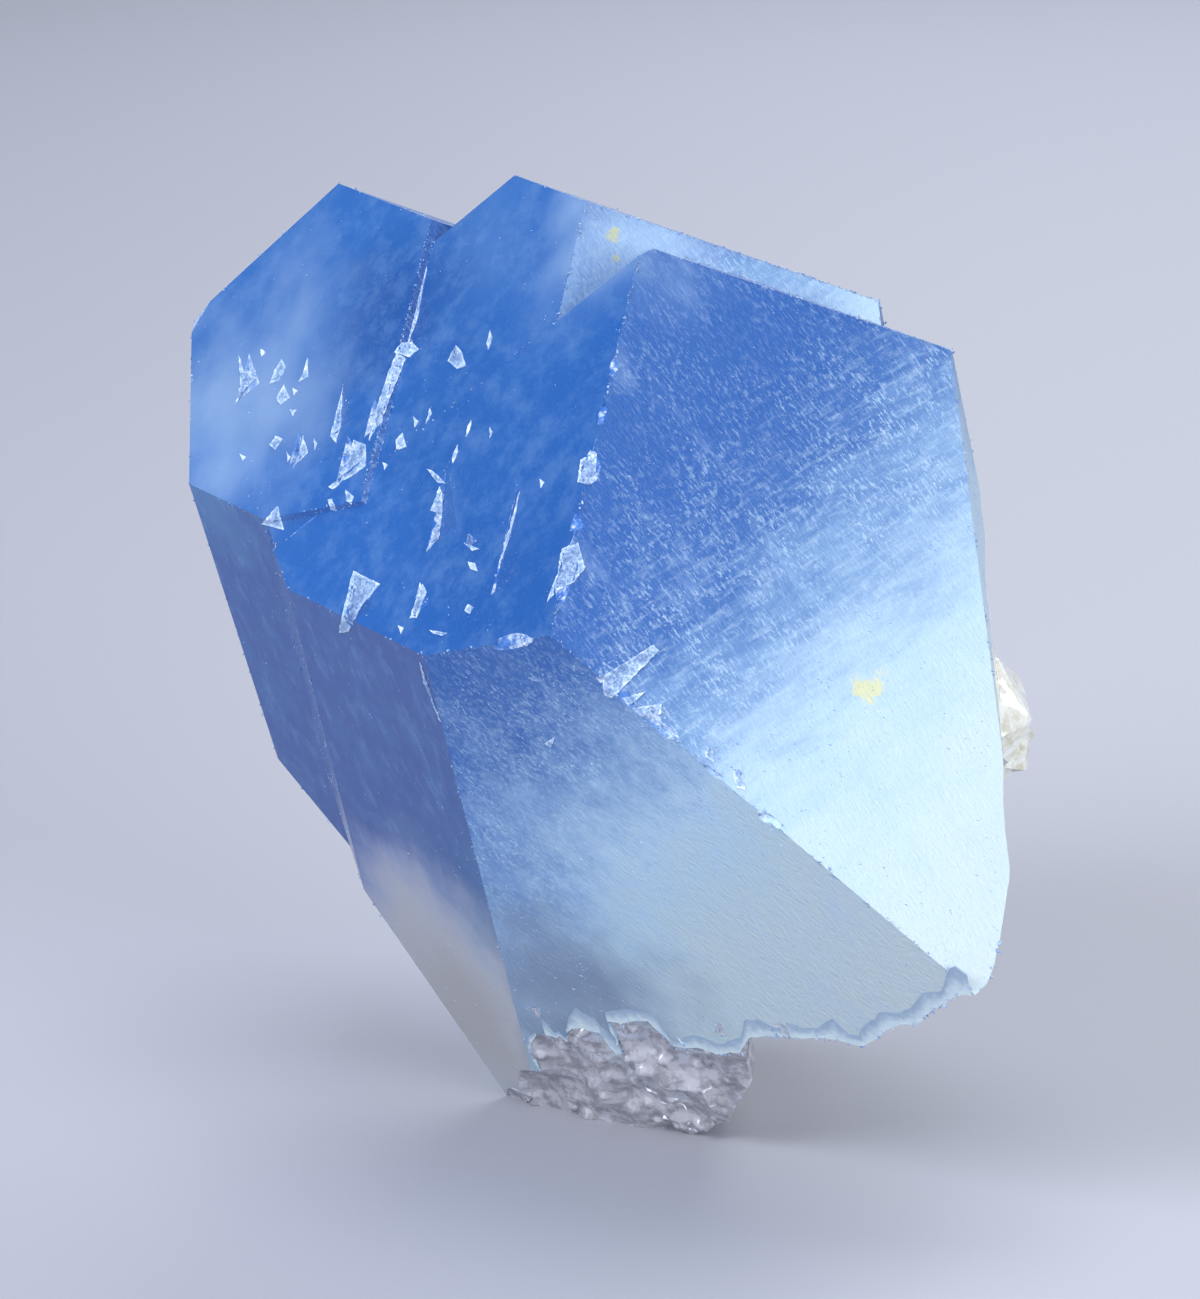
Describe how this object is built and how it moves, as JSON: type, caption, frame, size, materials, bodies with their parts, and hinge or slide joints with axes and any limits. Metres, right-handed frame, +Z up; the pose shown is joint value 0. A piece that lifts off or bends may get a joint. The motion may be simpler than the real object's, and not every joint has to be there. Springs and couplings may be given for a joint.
{
  "type": "celestite crystal",
  "caption": "Hand-sized cluster of joined blue celestite crystal heads on a broken white root, standing on a small flat ground foot.",
  "frame": {"origin": "centre of the bounding box's base, level with the flat spot the crystal rests on", "axes": "+Z up from the rest spot through the crystal tips; -Y faces the two large front faces; +X to the right of them, where the root is broken"},
  "size_m": [0.054, 0.0526, 0.0601],
  "materials": {
    "celestite": "translucent pale to mid blue crystal, glossy to frosted growth faces, fading to near white at the broken root"
  },
  "bodies": {
    "root": {"celestite_crystal": "celestite"}
  },
  "joints": []
}
